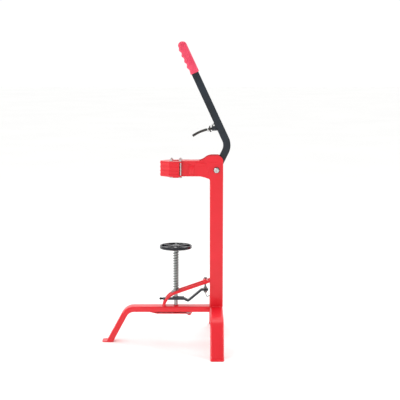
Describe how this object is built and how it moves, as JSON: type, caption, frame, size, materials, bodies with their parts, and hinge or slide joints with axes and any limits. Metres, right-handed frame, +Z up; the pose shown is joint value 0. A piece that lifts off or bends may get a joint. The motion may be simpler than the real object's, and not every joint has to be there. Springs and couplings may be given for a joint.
{
  "type": "floor-standing bottle corker",
  "caption": "Floor-standing lever bottle corker: bent hand lever closes the jaws and drives a curved plunger, sprung bottle platform, splayed flat-tube legs.",
  "frame": {"origin": "on the floor, under the middle of the object's bounding box", "axes": "+Z up; the bottle stands towards -X from the column; +Y is the left side of someone who stands in front of the bottle"},
  "size_m": [0.4416, 0.546, 1.0306],
  "materials": {
    "red_enamel": "gloss",
    "black_enamel": "satin",
    "zinc": "zinc plated",
    "bright_steel": "drawn",
    "dark_steel": "blackened",
    "jaw_brass": "machined",
    "black_plastic": "moulded",
    "red_rubber": "moulded"
  },
  "bodies": {
    "stand": {"column": "red_enamel", "column_cap": "red_enamel", "front_leg": "red_enamel", "front_foot": "red_enamel", "leg_stiffener": "red_enamel", "rod_bush": "red_enamel", "arch_bar_left": "red_enamel", "arch_bar_right": "red_enamel", "guide_plate": "red_enamel", "hanger_bracket": "red_enamel", "hanger_bolt": "zinc", "hanger_nuts": "zinc", "catch_spring": "bright_steel", "head_side_left": "red_enamel", "head_side_right": "red_enamel", "jaw_housing": "red_enamel", "top_cover": "red_enamel", "base_plate": "red_enamel", "bottle_cup": "red_enamel", "tie_bolts": "zinc", "tie_nuts": "zinc", "pivot_bolt": "zinc", "pivot_nut": "zinc", "pivot_washers": "zinc", "pivot_spacers": "bright_steel", "jaw_front": "jaw_brass", "platform_spring": "bright_steel", "rear_leg_left": "red_enamel", "rear_foot_left": "red_enamel", "rear_leg_right": "red_enamel", "rear_foot_right": "red_enamel"},
    "lever": {"lever_arm": "black_enamel", "cam_cheeks": "black_enamel", "grip": "red_rubber", "plunger_lug": "black_enamel", "lug_screw": "zinc"},
    "plunger": {"plunger_rod": "dark_steel", "plunger_lock_nut": "zinc"},
    "depth_nut": {"wing_nut": "dark_steel"},
    "jaw_slide": {"pusher": "bright_steel", "jaw_rear": "jaw_brass", "roller_pin": "bright_steel"},
    "roller": {"cam_roller": "bright_steel"},
    "side_jaw_left": {"jaw_left": "jaw_brass"},
    "side_jaw_right": {"jaw_right": "jaw_brass"},
    "platform_post": {"platform_rod": "bright_steel", "rod_collar": "zinc"},
    "platform_plate": {"platform_disc": "black_plastic", "platform_screw": "zinc"},
    "catch": {"catch_lever": "black_enamel", "catch_knob": "black_plastic"}
  },
  "joints": [
    {"name": "lever_pull", "type": "hinge", "parent": "stand", "child": "lever", "pos_m": [0.17315, 0, 0.5975], "axis": [0, -1, 0], "range_deg": [0, 64]},
    {"name": "plunger_depth", "type": "hinge", "parent": "lever", "child": "plunger", "pos_m": [0.17315, 0, 0.5975], "axis": [0, -1, 0], "range_deg": [-0.92, 0.92]},
    {"name": "depth_nut_turn", "type": "hinge", "parent": "lever", "child": "depth_nut", "pos_m": [0.1505, 0, 0.73565], "axis": [-0.9868, 0, -0.1618], "range_deg": [-540, 540]},
    {"name": "jaw_close", "type": "slide", "parent": "stand", "child": "jaw_slide", "axis": [-1, 0, 0], "range_m": [0, 0.01415]},
    {"name": "roller_spin", "type": "hinge", "parent": "jaw_slide", "child": "roller", "pos_m": [0.14315, 0, 0.5975], "axis": [0, 1, 0], "continuous": true},
    {"name": "left_jaw_close", "type": "slide", "parent": "stand", "child": "side_jaw_left", "axis": [-0.7071, -0.7071, 0], "range_m": [0, 0.01001]},
    {"name": "right_jaw_close", "type": "slide", "parent": "stand", "child": "side_jaw_right", "axis": [-0.7071, 0.7071, 0], "range_m": [0, 0.01001]},
    {"name": "platform_lift", "type": "slide", "parent": "stand", "child": "platform_post", "axis": [0, 0, 1], "range_m": [-0.088, 0], "stiffness_N_per_m": 250, "springref_m": 0.06, "deforming": ["platform_spring"]},
    {"name": "platform_turn", "type": "hinge", "parent": "platform_post", "child": "platform_plate", "pos_m": [0.03415, 0, 0.336], "axis": [0, 0, 1], "continuous": true},
    {"name": "catch_tilt", "type": "hinge", "parent": "stand", "child": "catch", "pos_m": [0.13565, 0, 0.18116], "axis": [0, 1, 0], "range_deg": [-2, 3]}
  ],
  "couplings": [
    {"joint": "plunger_depth", "follows": "depth_nut_turn", "ratio": 0.0017052},
    {"joint": "jaw_close", "follows": "lever_pull", "m_per_rad": 0.012661},
    {"joint": "left_jaw_close", "follows": "lever_pull", "m_per_rad": 0.0089525},
    {"joint": "right_jaw_close", "follows": "lever_pull", "m_per_rad": 0.0089525}
  ]
}
